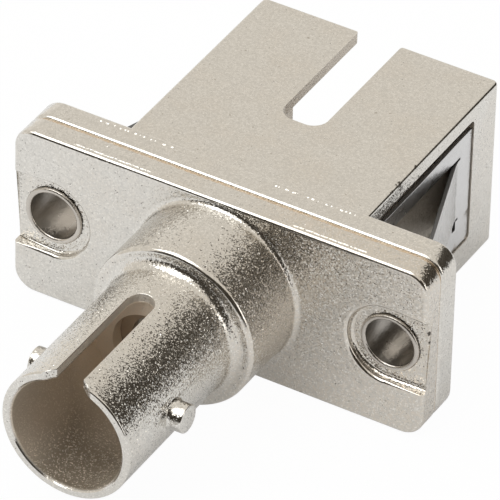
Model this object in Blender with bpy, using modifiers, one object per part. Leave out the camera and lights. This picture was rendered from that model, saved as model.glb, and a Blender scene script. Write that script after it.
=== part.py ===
"""ST to SC fibre adapter: a hybrid through adapter for two 2.5 mm ferrules.

Two die-cast halves meet at a two-hole flange and are held together by tubular eyelets.
The front casting carries a round boss and a bayonet barrel, and the rear casting is a
rectangular socket. Inside, two holders carry a split alignment sleeve, and a sheet-metal
clip lies in a pocket in each side of the socket.

Metres, +Z up. The fibre axis is the Y axis: the bayonet barrel points along -Y and the
socket opens along +Y. The origin is the middle of the adapter's bounding box.
"""

import math

import bmesh
import bpy
from mathutils import Matrix, Vector

# Sizes, in metres.

# Fits. One overrun serves every cut, one embed every union.
fit_gap = 0.00005
seam_gap = 0.0001
overrun = 0.0005
embed = 0.0004
merge_distance = 0.000001

# Reach of the two sides, measured from the front face of the flange.
barrel_reach = 0.01325
socket_reach = 0.0151

# Flange. The castings share its thickness, on both sides of the seam.
flange_length = 0.0220
flange_height = 0.0093
flange_thickness = 0.00284
flange_corner_radius = 0.0011
flange_edge_radius = 0.00018

# Fixing holes, the open recess round each one in front, and the eyelet's seat behind.
hole_end_distance = 0.0020
hole_radius = 0.00145
recess_radius = 0.00208
recess_depth = 0.00042
seat_depth = 0.0002
seat_margin = 0.0001

# Eyelets: thin tube, rolled over at both ends into an oval rim.
eyelet_wall = 0.00015
eyelet_rim_width = 0.00028
eyelet_rim_height = 0.00013

# Boss and bayonet barrel.
boss_step = 0.00089
boss_reach = 0.00403
boss_edge_radius = 0.00026
boss_fillet = 0.00030
barrel_radius = 0.00336
barrel_edge_radius = 0.00012
barrel_chamfer = 0.0002
barrel_fillet = 0.00055
barrel_wall = 0.000485
shoulder_reach = 0.0060
lip_hole_radius = 0.00193
lip_thickness = 0.0007

# Bayonet lugs.
lug_radius = 0.0007
lug_height = 0.00069
lug_margin = 0.00395
lug_edge_radius = 0.00012

# Keyway along the top of the barrel.
keyway_width = 0.00138
keyway_end_margin = 0.0002
keyway_lip_width = 0.0006
keyway_lip_depth = 0.00042

# Socket box.
box_width = 0.01275
box_step = 0.00003
box_edge_radius = 0.00024
box_corner_radius = 0.0003
side_wall = 0.001875
top_wall = 0.00087
cavity_lead_in = 0.00025

# Key slot through the top wall, and the wider key groove under it.
key_slot_width = 0.0023
key_slot_end = 0.0073
key_slot_end_radius = 0.0008
key_slot_mouth_radius = 0.0003
key_groove_width = 0.0034
key_groove_end = 0.0055
key_groove_depth = 0.0003

# Pocket for the panel clip in each side of the box.
pocket_front_margin = 0.0003
pocket_rear_margin = 0.00235
pocket_bottom_margin = 0.00152
pocket_top_margin = 0.00077
pocket_corner_radius = 0.0003
clip_sunk = 0.00012

# Panel clip: sheet with a small step in its top edge, window and flared tongue.
clip_sheet = 0.00025
clip_headroom = 0.00052
clip_step = 0.00011
clip_step_margin = 0.00466
clip_step_slope = 0.0001
tongue_bottom_margin = 0.00185
tongue_top_margin = 0.00123
tongue_root_margin = 0.00109
tongue_tip_margin = 0.00122
tongue_bend_length = 0.00024
tongue_flare = math.radians(18.5)
lance_slit = 0.00019
window_clearance = 0.0004

# Latch insert: base plate in a pocket at the seam, hooked arms and sleeve tube.
insert_side_overlap = 0.0006
insert_top_overlap = 0.00025
insert_plate_thickness = 0.0010
insert_plate_corner = 0.0003
arm_end = 0.0109
arm_wall_clearance = 0.0005
arm_thickness = 0.0007
arm_end_clearance = 0.00195
hook_depth = 0.0007
hook_length = 0.0011
hook_ramp = 0.0009
tube_radius = 0.0023
tube_end = 0.00715

# Sleeve and its holders.
sleeve_radius = 0.0016
sleeve_wall = 0.00035
sleeve_slot = 0.0004
sleeve_clearance = 0.00006
holder_lip = 0.0005
holder_lip_radius = 0.00135
holder_radius = 0.0024
holder_flange_radius = 0.00335
holder_flange_thickness = 0.0007

# Facets of round forms.
barrel_steps = 64
eyelet_steps = 32
eyelet_rim_steps = 8
tube_steps = 40
hole_steps = 32
lug_steps = 24
arc_steps = 4

# Derived places.

flange_front = (barrel_reach - socket_reach) / 2
seam_front = flange_front + (flange_thickness - seam_gap) / 2
seam_rear = seam_front + seam_gap
flange_rear = flange_front + flange_thickness
half_pitch = flange_length / 2 - hole_end_distance
boss_radius = barrel_radius + boss_step
socket_bore_radius = barrel_radius - barrel_wall
lug_reach = barrel_radius + lug_height
lug_place = barrel_reach - lug_margin
keyway_end = shoulder_reach + keyway_end_margin
box_height = flange_height - 2 * box_step
cavity_width = box_width - 2 * side_wall
cavity_height = box_height - 2 * top_wall
pocket_front = flange_thickness + pocket_front_margin
pocket_rear = socket_reach - pocket_rear_margin
pocket_bottom = pocket_bottom_margin - box_height / 2
pocket_top = box_height / 2 - pocket_top_margin
clip_top = pocket_top - clip_headroom
clip_bottom = pocket_bottom + fit_gap
clip_step_place = pocket_front + clip_step_margin
tongue_bottom = clip_bottom + tongue_bottom_margin
tongue_top = clip_top - tongue_top_margin
tongue_root = pocket_rear - tongue_root_margin
tongue_length = tongue_root - pocket_front - tongue_tip_margin
insert_plate_width = cavity_width + 2 * insert_side_overlap
insert_plate_height = cavity_height + 2 * insert_top_overlap
arm_spread = cavity_width - 2 * (arm_wall_clearance + arm_thickness)
arm_height = cavity_height - 2 * arm_end_clearance
eyelet_radius = hole_radius - fit_gap
eyelet_bore = eyelet_radius - eyelet_wall
rim_radius = eyelet_bore + eyelet_rim_width
rim_middle = eyelet_bore + eyelet_rim_width / 2
sleeve_bore_radius = sleeve_radius + sleeve_clearance
turn_to_front = (math.radians(90), 0, 0)


def along(distance):
    """Y of a place given by its distance behind the flange's front face."""
    return flange_front + distance


# Scene and helpers.

for old in list(bpy.data.objects):
    bpy.data.objects.remove(old, do_unlink=True)

parts = bpy.data.collections.new("st_to_sc_fibre_adapter")
cutters = bpy.data.collections.new("cutters")
bpy.context.scene.collection.children.link(parts)
bpy.context.scene.collection.children.link(cutters)


def make_material(name, colour, metallic, roughness):
    """One Principled material."""
    material = bpy.data.materials.new(name)
    material.use_nodes = True
    shader = material.node_tree.nodes["Principled BSDF"]
    shader.inputs["Base Color"].default_value = (*colour, 1)
    shader.inputs["Metallic"].default_value = metallic
    shader.inputs["Roughness"].default_value = roughness
    return material


def keep_as_part(obj, material):
    """Put a finished piece in the adapter's collection with its own material."""
    for collection in list(obj.users_collection):
        collection.objects.unlink(obj)
    parts.objects.link(obj)
    obj.data.materials.clear()
    obj.data.materials.append(material)
    obj.data.shade_smooth()
    obj.data.set_sharp_from_angle(angle=math.radians(35))
    return obj


def keep_as_tool(obj):
    """Put a helper shape with the cutters, out of the render."""
    for collection in list(obj.users_collection):
        collection.objects.unlink(obj)
    cutters.objects.link(obj)
    obj.hide_render = True
    obj.display_type = "WIRE"
    return obj


def add_box(name, low, high):
    """Box between two corners, its scale applied."""
    low, high = Vector(low), Vector(high)
    bpy.ops.mesh.primitive_cube_add(size=1, location=(low + high) / 2)
    obj = bpy.context.object
    obj.name = name
    obj.scale = high - low
    bpy.ops.object.transform_apply(location=False, rotation=False, scale=True)
    return obj


def add_cylinder(name, radius, start, end, steps):
    """Cylinder between two points."""
    start, end = Vector(start), Vector(end)
    bpy.ops.mesh.primitive_cylinder_add(
        vertices=steps, radius=radius, depth=(end - start).length, location=(start + end) / 2
    )
    obj = bpy.context.object
    obj.name = name
    obj.rotation_euler = (end - start).to_track_quat("Z", "Y").to_euler()
    return obj


def round_edges(obj, chosen, radius, steps):
    """Round only the edges that the test picks, by bevel weight."""
    mesh = obj.data
    weight = mesh.attributes.get("bevel_weight_edge")
    if weight is None:
        weight = mesh.attributes.new("bevel_weight_edge", "FLOAT", "EDGE")
    for edge in mesh.edges:
        first = mesh.vertices[edge.vertices[0]].co
        second = mesh.vertices[edge.vertices[1]].co
        if chosen((second - first).normalized(), (first + second) / 2):
            weight.data[edge.index].value = 1
    bevel = obj.modifiers.new("corner rounding", "BEVEL")
    bevel.limit_method = "WEIGHT"
    bevel.width = radius
    bevel.segments = steps
    return bevel


def soften_edges(obj, radius, steps):
    """Round every edge that is sharper than a rounding's own facets."""
    bevel = obj.modifiers.new("edge rounding", "BEVEL")
    bevel.limit_method = "ANGLE"
    bevel.angle_limit = math.radians(50)
    bevel.width = radius
    bevel.segments = steps
    return bevel


def flare_rear_face(obj, reach):
    """Lengthen a box backwards by a flare that widens as much as it reaches."""
    shape = bmesh.new()
    shape.from_mesh(obj.data)
    rear = [face for face in shape.faces if face.normal.y > 0.9]
    flared = bmesh.ops.extrude_discrete_faces(shape, faces=rear)["faces"][0]
    for vertex in flared.verts:
        widen = (math.copysign(reach, vertex.co.x), reach, math.copysign(reach, vertex.co.z))
        vertex.co += Vector(widen)
    shape.to_mesh(obj.data)
    shape.free()


def arc(centre, radius, start_angle, end_angle, steps=arc_steps):
    """Points of an arc in a turned profile, both ends included."""
    points = []
    for step in range(steps + 1):
        angle = math.radians(start_angle + (end_angle - start_angle) * step / steps)
        points.append((centre[0] + radius * math.cos(angle), centre[1] + radius * math.sin(angle)))
    return points


def add_turned(name, profile, steps, closed, place=(0, 0, 0)):
    """Turn a profile of (radius, distance forward) pairs about the fibre axis."""
    mesh = bpy.data.meshes.new(name)
    points = [(radius, 0, forward) for radius, forward in profile]
    edges = [(index, index + 1) for index in range(len(points) - 1)]
    if closed:
        edges.append((len(points) - 1, 0))
    mesh.from_pydata(points, edges, [])
    obj = bpy.data.objects.new(name, mesh)
    bpy.context.scene.collection.objects.link(obj)
    obj.rotation_euler = turn_to_front
    obj.location = place
    screw = obj.modifiers.new("turn", "SCREW")
    screw.axis = "Z"
    screw.steps = steps
    screw.render_steps = steps
    screw.use_merge_vertices = True
    screw.merge_threshold = merge_distance
    return obj


def add_outline(name, outline, thickness, place):
    """Flat plate from an outline in X and Y, thickness along Z about its place."""
    curve = bpy.data.curves.new(name, "CURVE")
    curve.dimensions = "2D"
    curve.fill_mode = "BOTH"
    curve.extrude = thickness / 2
    spline = curve.splines.new("POLY")
    spline.points.add(len(outline) - 1)
    for point, (x, y) in zip(spline.points, outline):
        point.co = (x, y, 0, 1)
    spline.use_cyclic_u = True
    flat = bpy.data.objects.new(name + "_outline", curve)
    bpy.context.scene.collection.objects.link(flat)
    flat.location = place
    bpy.context.view_layer.update()
    evaluated = flat.evaluated_get(bpy.context.evaluated_depsgraph_get())
    mesh = bpy.data.meshes.new_from_object(evaluated)
    shell = bmesh.new()
    shell.from_mesh(mesh)
    bmesh.ops.remove_doubles(shell, verts=shell.verts, dist=merge_distance)
    bmesh.ops.recalc_face_normals(shell, faces=shell.faces)
    shell.to_mesh(mesh)
    shell.free()
    obj = bpy.data.objects.new(name, mesh)
    obj.matrix_world = flat.matrix_world
    bpy.context.scene.collection.objects.link(obj)
    bpy.data.objects.remove(flat)
    return obj


def combine(obj, tool, operation):
    """Join a tool to a piece, or cut the piece with it."""
    boolean = obj.modifiers.new(operation.lower() + " " + tool.name, "BOOLEAN")
    boolean.operation = operation
    boolean.object = keep_as_tool(tool)
    boolean.solver = "EXACT"


def join(obj, tool):
    combine(obj, tool, "UNION")


def cut(obj, tool):
    combine(obj, tool, "DIFFERENCE")


# Shapes both castings share.


# A rounding that would use up a slot's whole width stops just short of it.
round_share = 0.985


def flange_plate(name, front, rear):
    """One casting's half of the flange, with round corners."""
    plate = add_box(
        name,
        (-flange_length / 2, front, -flange_height / 2),
        (flange_length / 2, rear, flange_height / 2),
    )
    round_edges(plate, lambda way, middle: abs(way.y) > 0.9, flange_corner_radius, 6)
    return plate


def cut_recesses(casting):
    """Shallow recess round each fixing hole, open at the flange's end."""
    for side in (-1, 1):
        inner_end = side * (half_pitch - recess_radius)
        outer_end = side * (flange_length / 2 + overrun)
        recess = add_box(
            casting.name + "_recess",
            (min(inner_end, outer_end), flange_front - overrun, -recess_radius),
            (max(inner_end, outer_end), flange_front + recess_depth, recess_radius),
        )
        round_edges(
            recess,
            lambda way, middle, side=side: abs(way.y) > 0.9 and middle.x * side < 0,
            recess_radius * round_share,
            10,
        )
        cut(casting, recess)


def cut_holes(casting, radius, front, rear):
    """Round hole at each end of a flange half."""
    for side in (-1, 1):
        centre = side * half_pitch
        hole = add_cylinder(
            casting.name + "_hole", radius, (centre, front, 0), (centre, rear, 0), hole_steps
        )
        cut(casting, hole)


# Front casting.

nickel_front = make_material("nickel_front", (0.62, 0.585, 0.545), 1.0, 0.38)
nickel_rear = make_material("nickel_rear", (0.62, 0.585, 0.545), 1.0, 0.36)

st_housing = flange_plate("st_housing", flange_front, seam_front)
cut_recesses(st_housing)
soften_edges(st_housing, flange_edge_radius, 2)

outer_profile = [(0, barrel_reach)]
outer_profile += arc(
    (barrel_radius - barrel_edge_radius, barrel_reach - barrel_edge_radius), barrel_edge_radius, 90, 0, 3
)
outer_profile += arc(
    (barrel_radius + barrel_fillet, boss_reach + barrel_fillet), barrel_fillet, 180, 270
)
outer_profile += arc(
    (boss_radius - boss_edge_radius, boss_reach - boss_edge_radius), boss_edge_radius, 90, 0
)
outer_profile += arc((boss_radius + boss_fillet, boss_fillet), boss_fillet, 180, 270)
outer_profile += [(boss_radius + boss_fillet, -embed), (0, -embed)]
barrel = add_turned("barrel_body", outer_profile, barrel_steps, False, (0, flange_front, 0))
join(st_housing, barrel)

for lug_side in (-1, 1):
    lug = add_cylinder(
        "bayonet_lug",
        lug_radius,
        (0, along(-lug_place), 0),
        (lug_side * lug_reach, along(-lug_place), 0),
        lug_steps,
    )
    soften_edges(lug, lug_edge_radius, 2)
    join(st_housing, lug)

holder_pocket_radius = holder_radius + fit_gap
holder_flange_front = seam_front - fit_gap - holder_flange_thickness
holder_seat = holder_flange_front - fit_gap
bore_profile = [
    (0, barrel_reach + overrun),
    (socket_bore_radius + barrel_chamfer + overrun, barrel_reach + overrun),
    (socket_bore_radius, barrel_reach - barrel_chamfer),
    (socket_bore_radius, shoulder_reach),
    (lip_hole_radius, shoulder_reach),
    (lip_hole_radius, shoulder_reach - lip_thickness),
    (holder_pocket_radius, shoulder_reach - lip_thickness),
    (holder_pocket_radius, flange_front - holder_seat),
    (holder_flange_radius + fit_gap, flange_front - holder_seat),
    (holder_flange_radius + fit_gap, flange_front - seam_front - overrun),
    (0, flange_front - seam_front - overrun),
]
cut(st_housing, add_turned("stepped_bore", bore_profile, barrel_steps, False, (0, flange_front, 0)))

keyway_top = barrel_radius + overrun
keyway_floor = socket_bore_radius * math.sqrt(1 - (keyway_width / socket_bore_radius) ** 2) - embed
keyway = add_box(
    "keyway_cut",
    (-keyway_width / 2, along(-barrel_reach) - overrun, keyway_floor),
    (keyway_width / 2, along(-keyway_end), keyway_top),
)
round_edges(
    keyway,
    lambda way, middle: abs(way.z) > 0.9 and middle.y > 0,
    keyway_width / 2 * round_share,
    8,
)
cut(st_housing, keyway)

lip_front = along(-barrel_reach)
lip_inner = keyway_width / 2
lip_outer = lip_inner + keyway_lip_width
lip_slope = keyway_lip_width / keyway_lip_depth
lip_outline = [
    (-lip_inner, lip_front + keyway_lip_depth),
    (-lip_outer - overrun * lip_slope, lip_front - overrun),
    (lip_outer + overrun * lip_slope, lip_front - overrun),
    (lip_inner, lip_front + keyway_lip_depth),
]
lip_height = keyway_top - keyway_floor + embed
lip_cut = add_outline(
    "keyway_lead_in", lip_outline, lip_height, (0, 0, keyway_top - lip_height / 2)
)
cut(st_housing, lip_cut)

cut_holes(st_housing, hole_radius, flange_front, seam_front + overrun)
keep_as_part(st_housing, nickel_front)

# Rear casting.

sc_housing = flange_plate("sc_housing", seam_rear, flange_rear)
soften_edges(sc_housing, flange_edge_radius, 2)

box_front = flange_rear - flange_edge_radius - embed
box_rear = along(socket_reach)
box = add_box(
    "socket_box",
    (-box_width / 2, box_front, -box_height / 2),
    (box_width / 2, box_rear, box_height / 2),
)
round_edges(
    box,
    lambda way, middle: abs(way.z) > 0.9 and middle.y > 0,
    box_corner_radius,
    4,
)
soften_edges(box, box_edge_radius, 3)
join(sc_housing, box)

insert_seat = seam_rear + insert_plate_thickness + 2 * fit_gap
cavity = add_box(
    "socket_cavity",
    (-cavity_width / 2, seam_rear - overrun, -cavity_height / 2),
    (cavity_width / 2, box_rear - cavity_lead_in, cavity_height / 2),
)
flare_rear_face(cavity, cavity_lead_in + overrun)
cut(sc_housing, cavity)

insert_pocket = add_box(
    "insert_pocket",
    (-insert_plate_width / 2 - fit_gap, seam_rear - overrun, -insert_plate_height / 2 - fit_gap),
    (insert_plate_width / 2 + fit_gap, insert_seat, insert_plate_height / 2 + fit_gap),
)
cut(sc_housing, insert_pocket)

groove_top = cavity_height / 2 + key_groove_depth
key_groove = add_box(
    "key_groove",
    (-key_groove_width / 2, along(key_groove_end), cavity_height / 2 - embed),
    (key_groove_width / 2, box_rear + overrun, groove_top),
)
cut(sc_housing, key_groove)

slot_half = key_slot_width / 2
slot_mouth = slot_half + key_slot_mouth_radius
slot_end = along(key_slot_end)
flare_centre = box_rear - key_slot_mouth_radius
slot_outline = arc(
    (slot_half - key_slot_end_radius, slot_end + key_slot_end_radius), key_slot_end_radius, 270, 360, 6
)
slot_outline += arc((slot_mouth, flare_centre), key_slot_mouth_radius, 180, 90)
slot_outline += [(slot_mouth, box_rear + overrun), (-slot_mouth, box_rear + overrun)]
slot_outline += arc((-slot_mouth, flare_centre), key_slot_mouth_radius, 90, 0)
slot_outline += arc(
    (-slot_half + key_slot_end_radius, slot_end + key_slot_end_radius), key_slot_end_radius, 180, 270, 6
)
slot_top = box_height / 2 + overrun
slot_bottom = groove_top - embed
key_slot = add_outline(
    "key_slot", slot_outline, slot_top - slot_bottom, (0, 0, (slot_top + slot_bottom) / 2)
)
cut(sc_housing, key_slot)

pocket_depth = clip_sunk + clip_sheet + fit_gap
for side in (-1, 1):
    pocket_floor = side * (box_width / 2 - pocket_depth)
    pocket_outside = side * (box_width / 2 + overrun)
    pocket = add_box(
        "clip_pocket",
        (min(pocket_floor, pocket_outside), along(pocket_front), pocket_bottom),
        (max(pocket_floor, pocket_outside), along(pocket_rear), pocket_top),
    )
    round_edges(pocket, lambda way, middle: abs(way.x) > 0.9, pocket_corner_radius, 3)
    cut(sc_housing, pocket)

cut_holes(sc_housing, hole_radius, seam_rear - overrun, flange_rear + overrun)
cut_holes(sc_housing, rim_radius + seat_margin, flange_rear - seat_depth, flange_rear + overrun)
keep_as_part(sc_housing, nickel_rear)

# Eyelets.



def eyelet_rim(base, forward):
    """Half an oval from the bore over the rim's crest to its outer edge."""
    points = []
    for step in range(eyelet_rim_steps + 1):
        angle = math.pi * step / eyelet_rim_steps
        across = rim_middle - math.cos(angle) * eyelet_rim_width / 2
        points.append((across, base + forward * math.sin(angle) * eyelet_rim_height))
    return points


def eyelet_profile():
    """Closed outline of the tube wall; distances run forward from the flange's face."""
    front_base = -recess_depth + fit_gap
    rear_base = -flange_thickness + seat_depth - fit_gap
    profile = eyelet_rim(front_base, 1)
    profile += [(eyelet_radius, front_base), (eyelet_radius, rear_base)]
    profile += list(reversed(eyelet_rim(rear_base, -1)))
    return profile


for label, side in (("left", -1), ("right", 1)):
    eyelet = add_turned(
        "eyelet_" + label,
        eyelet_profile(),
        eyelet_steps,
        True,
        (side * half_pitch, flange_front, 0),
    )
    keep_as_part(eyelet, make_material("eyelet_" + label + "_metal", (0.66, 0.62, 0.57), 1.0, 0.18))

# Panel clips.

clip_face = box_width / 2 - clip_sunk
clip_front = along(pocket_front) + fit_gap
clip_rear = along(pocket_rear) - 2 * fit_gap
root = along(tongue_root)
flat_tip = root - tongue_length
window_front = flat_tip - window_clearance
step_rear = along(clip_step_place) + clip_step_slope


def tongue_point(y):
    """Place of a point of the flat tongue after its bend: offset outwards and new Y."""
    run = max(root - y, 0)
    bent = min(run, tongue_bend_length)
    angle = tongue_flare * bent / tongue_bend_length
    radius = tongue_bend_length / tongue_flare
    out = radius * (1 - math.cos(angle)) + (run - bent) * math.sin(tongue_flare)
    forward = radius * math.sin(angle) + (run - bent) * math.cos(tongue_flare)
    return out, root - forward


def clip_lines():
    """Grid lines of the sheet along Y and Z."""
    bend = [root - tongue_bend_length * step / 3 for step in (3, 2, 1)]
    step_up = [step_rear - clip_step_slope, step_rear]
    lengthwise = [clip_front, window_front, flat_tip] + step_up + bend + [root, clip_rear]
    upward = [
        clip_bottom,
        tongue_bottom - lance_slit,
        tongue_bottom,
        tongue_top,
        tongue_top + lance_slit,
        clip_top,
    ]
    return lengthwise, upward


def add_clip(name, side):
    """Sheet with a lanced, flared tongue: a grid with its slits removed, then thickened."""
    lengthwise, upward = clip_lines()
    mesh = bpy.data.meshes.new(name)
    sheet = bmesh.new()
    columns, rows = len(lengthwise) - 1, len(upward) - 1
    bmesh.ops.create_grid(
        sheet, x_segments=columns, y_segments=rows, size=1, matrix=Matrix.Identity(4)
    )
    for vertex in sheet.verts:
        column = round((vertex.co.x + 1) / 2 * columns)
        row = round((vertex.co.y + 1) / 2 * rows)
        vertex.co = (side * clip_face, lengthwise[column], upward[row])
        if row == rows and lengthwise[column] < step_rear:
            vertex.co.z -= clip_step
    gone = []
    for face in sheet.faces:
        middle = face.calc_center_median()
        in_window = window_front < middle.y < root and upward[1] < middle.z < upward[4]
        in_tongue = middle.y > flat_tip and tongue_bottom < middle.z < tongue_top
        if in_window and not in_tongue:
            gone.append(face)
    bmesh.ops.delete(sheet, geom=gone, context="FACES")
    for vertex in sheet.verts:
        inside = tongue_bottom - merge_distance < vertex.co.z < tongue_top + merge_distance
        if inside and flat_tip - merge_distance < vertex.co.y < root - merge_distance:
            out, y = tongue_point(vertex.co.y)
            vertex.co = (side * (clip_face + out), y, vertex.co.z)
    loose = [vertex for vertex in sheet.verts if not vertex.link_faces]
    bmesh.ops.delete(sheet, geom=loose, context="VERTS")
    bmesh.ops.recalc_face_normals(sheet, faces=sheet.faces)
    outward = sum((face.normal.x * face.calc_area() for face in sheet.faces), 0)
    if outward * side < 0:
        bmesh.ops.reverse_faces(sheet, faces=sheet.faces)
    sheet.to_mesh(mesh)
    sheet.free()
    obj = bpy.data.objects.new(name, mesh)
    bpy.context.scene.collection.objects.link(obj)
    thicken = obj.modifiers.new("sheet", "SOLIDIFY")
    thicken.thickness = clip_sheet
    thicken.offset = -1
    thicken.use_even_offset = True
    return obj


for label, side in (("left", -1), ("right", 1)):
    clip = add_clip("panel_clip_" + label, side)
    keep_as_part(clip, make_material("clip_" + label + "_steel", (0.60, 0.61, 0.63), 1.0, 0.24))

# Latch insert.

plate_front = seam_rear + fit_gap
plate_rear = plate_front + insert_plate_thickness
insert = add_box(
    "sc_latch_insert",
    (-insert_plate_width / 2, plate_front, -insert_plate_height / 2),
    (insert_plate_width / 2, plate_rear, insert_plate_height / 2),
)
round_edges(insert, lambda way, middle: abs(way.y) > 0.9, insert_plate_corner, 2)

tube_profile = [
    (0, -(plate_front - flange_front) - fit_gap),
    (tube_radius, -(plate_front - flange_front) - fit_gap),
    (tube_radius, -tube_end),
    (0, -tube_end),
]
join(insert, add_turned("insert_tube", tube_profile, tube_steps, False, (0, flange_front, 0)))

for side in (-1, 1):
    inner = side * arm_spread / 2
    outer = inner + side * arm_thickness
    tip = along(arm_end)
    arm_outline = [
        (inner, plate_rear - embed),
        (outer, plate_rear - embed),
        (outer, tip),
        (inner, tip),
        (inner - side * hook_depth, tip - hook_ramp),
        (inner - side * hook_depth, tip - hook_length),
        (inner, tip - hook_length),
    ]
    join(insert, add_outline("latch_arm", arm_outline, arm_height, (0, 0, 0)))

tube_bore = [
    (0, -(plate_front - flange_front) + overrun),
    (sleeve_bore_radius, -(plate_front - flange_front) + overrun),
    (sleeve_bore_radius, -tube_end + holder_lip),
    (holder_lip_radius, -tube_end + holder_lip),
    (holder_lip_radius, -tube_end - overrun),
    (0, -tube_end - overrun),
]
cut(insert, add_turned("insert_bore", tube_bore, tube_steps, False, (0, flange_front, 0)))
keep_as_part(insert, make_material("insert_plastic", (0.70, 0.68, 0.62), 0.0, 0.45))

# Sleeve holder and sleeve.

holder_front = shoulder_reach - lip_thickness - fit_gap
holder_rear = flange_front - (seam_front - fit_gap)
flange_step = flange_front - holder_flange_front
holder_profile = [
    (holder_radius, holder_front),
    (holder_radius, flange_step),
    (holder_flange_radius, flange_step),
    (holder_flange_radius, holder_rear),
    (sleeve_bore_radius, holder_rear),
    (sleeve_bore_radius, holder_front - holder_lip),
    (holder_lip_radius, holder_front - holder_lip),
    (holder_lip_radius, holder_front),
]
holder = add_turned("sleeve_holder", holder_profile, tube_steps, True, (0, flange_front, 0))
keep_as_part(holder, make_material("holder_metal", (0.55, 0.50, 0.43), 1.0, 0.4))

sleeve_front = holder_front - holder_lip - fit_gap
sleeve_length = sleeve_front + tube_end - holder_lip - fit_gap
sleeve_profile = [
    (sleeve_radius, sleeve_front),
    (sleeve_radius, sleeve_front - sleeve_length),
    (sleeve_radius - sleeve_wall, sleeve_front - sleeve_length),
    (sleeve_radius - sleeve_wall, sleeve_front),
]
sleeve = add_turned("split_sleeve", sleeve_profile, eyelet_steps, True, (0, flange_front, 0))
sleeve_cut = add_box(
    "sleeve_slot",
    (-sleeve_slot / 2, along(-sleeve_front) - overrun, -sleeve_radius - overrun),
    (sleeve_slot / 2, along(-sleeve_front + sleeve_length) + overrun, 0),
)
cut(sleeve, sleeve_cut)
keep_as_part(sleeve, make_material("sleeve_ceramic", (0.86, 0.86, 0.83), 0.0, 0.2))
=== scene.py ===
"""Looks of an ST to SC fibre adapter: satin nickel castings, eyelets, clips and studio.

Metres, +Z up. The fibre axis is the Y axis, and the bayonet barrel points along -Y.
"""

import math

import bmesh
import bpy
from bpy.props import FloatProperty, FloatVectorProperty, PointerProperty
from mathutils import Matrix, Vector


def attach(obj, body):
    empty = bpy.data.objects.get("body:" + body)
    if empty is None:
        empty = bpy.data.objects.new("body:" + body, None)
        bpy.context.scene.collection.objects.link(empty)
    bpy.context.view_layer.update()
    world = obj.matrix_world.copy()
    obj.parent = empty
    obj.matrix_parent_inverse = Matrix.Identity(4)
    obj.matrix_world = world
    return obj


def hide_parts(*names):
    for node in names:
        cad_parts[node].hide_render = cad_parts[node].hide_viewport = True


bl_info = {
    "name": "Fibre Adapter Looks",
    "version": (1, 0, 0),
    "blender": (4, 5, 0),
    "location": "3D View > Sidebar > Adapter",
    "description": "Dresses an ST to SC fibre adapter in satin nickel and sets up its studio",
    "category": "Object",
}

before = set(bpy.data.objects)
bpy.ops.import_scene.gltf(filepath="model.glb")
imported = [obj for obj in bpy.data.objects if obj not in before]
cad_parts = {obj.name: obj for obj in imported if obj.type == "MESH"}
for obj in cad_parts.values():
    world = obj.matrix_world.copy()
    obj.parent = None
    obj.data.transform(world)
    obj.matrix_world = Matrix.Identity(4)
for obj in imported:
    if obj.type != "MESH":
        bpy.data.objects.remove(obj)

# Shared small values, in metres: how far cutters overrun, how deep unions sit, the distance
# under which two points are one, how close counts as level with or on a surface, and the
# greatest width of a face that belongs to a rounding.
overrun = 0.0005
embed = 0.0004
same_point = 0.0000005
near = 0.000001
on_surface = 0.00001
narrow_face = 0.00012

# Facets round the turned forms, and the share of a slot's half width that its round end takes.
barrel_steps = 160
hole_steps = 96
lug_steps = 64
rim_steps = 16
round_end_share = 0.985

# Share of the flange's height above which its top carries trim marks.
top_share = 0.49


# Settings


def length(label, note, value):
    """A length that a user can change."""
    return FloatProperty(
        name=label, description=note, default=value, min=-1, max=1, precision=5, unit="LENGTH"
    )


def share(label, note, value):
    """A plain number from 0 to 1."""
    return FloatProperty(name=label, description=note, default=value, min=0, max=1, subtype="FACTOR")


def colour(label, note, value):
    """A linear colour."""
    return FloatVectorProperty(
        name=label, description=note, default=value, size=3, min=0, max=1, subtype="COLOR"
    )


def turn(label, note, degrees):
    """An angle, written in degrees."""
    return FloatProperty(name=label, description=note, default=math.radians(degrees), unit="ROTATION")


class AdapterFlangeSizes(bpy.types.PropertyGroup):
    """Two-hole flange shared by both castings."""

    reach: length("Barrel reach", "From the flange's front face to the barrel's mouth", 0.01325)
    front: length("Front face", "Place of the flange's front face along the axis", -0.000925)
    thickness: length("Thickness", "Front face to rear face", 0.00284)
    seam: length("Seam", "Gap between the two castings", 0.00004)
    width: length("Length", "Flange length across both holes", 0.0220)
    height: length("Height", "Flange height", 0.0093)
    corner: length("Corner", "Radius of the four corners", 0.0011)
    edge: length("Edge", "Radius of the long edges", 0.0002)
    recess_edge: length("Recess edge", "Radius of the recess's rim and foot", 0.0002)
    pitch: length("Hole pitch", "Distance between the fixing holes", 0.0180)
    hole: length("Hole", "Radius of a fixing hole", 0.00145)
    recess: length("Recess", "Radius of the recess round a hole", 0.00208)
    recess_depth: length("Recess depth", "Depth of the recess in front", 0.00042)
    seat: length("Seat", "Radius of the eyelet's seat behind", 0.00163)
    seat_depth: length("Seat depth", "Depth of the seat behind", 0.0002)


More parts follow.
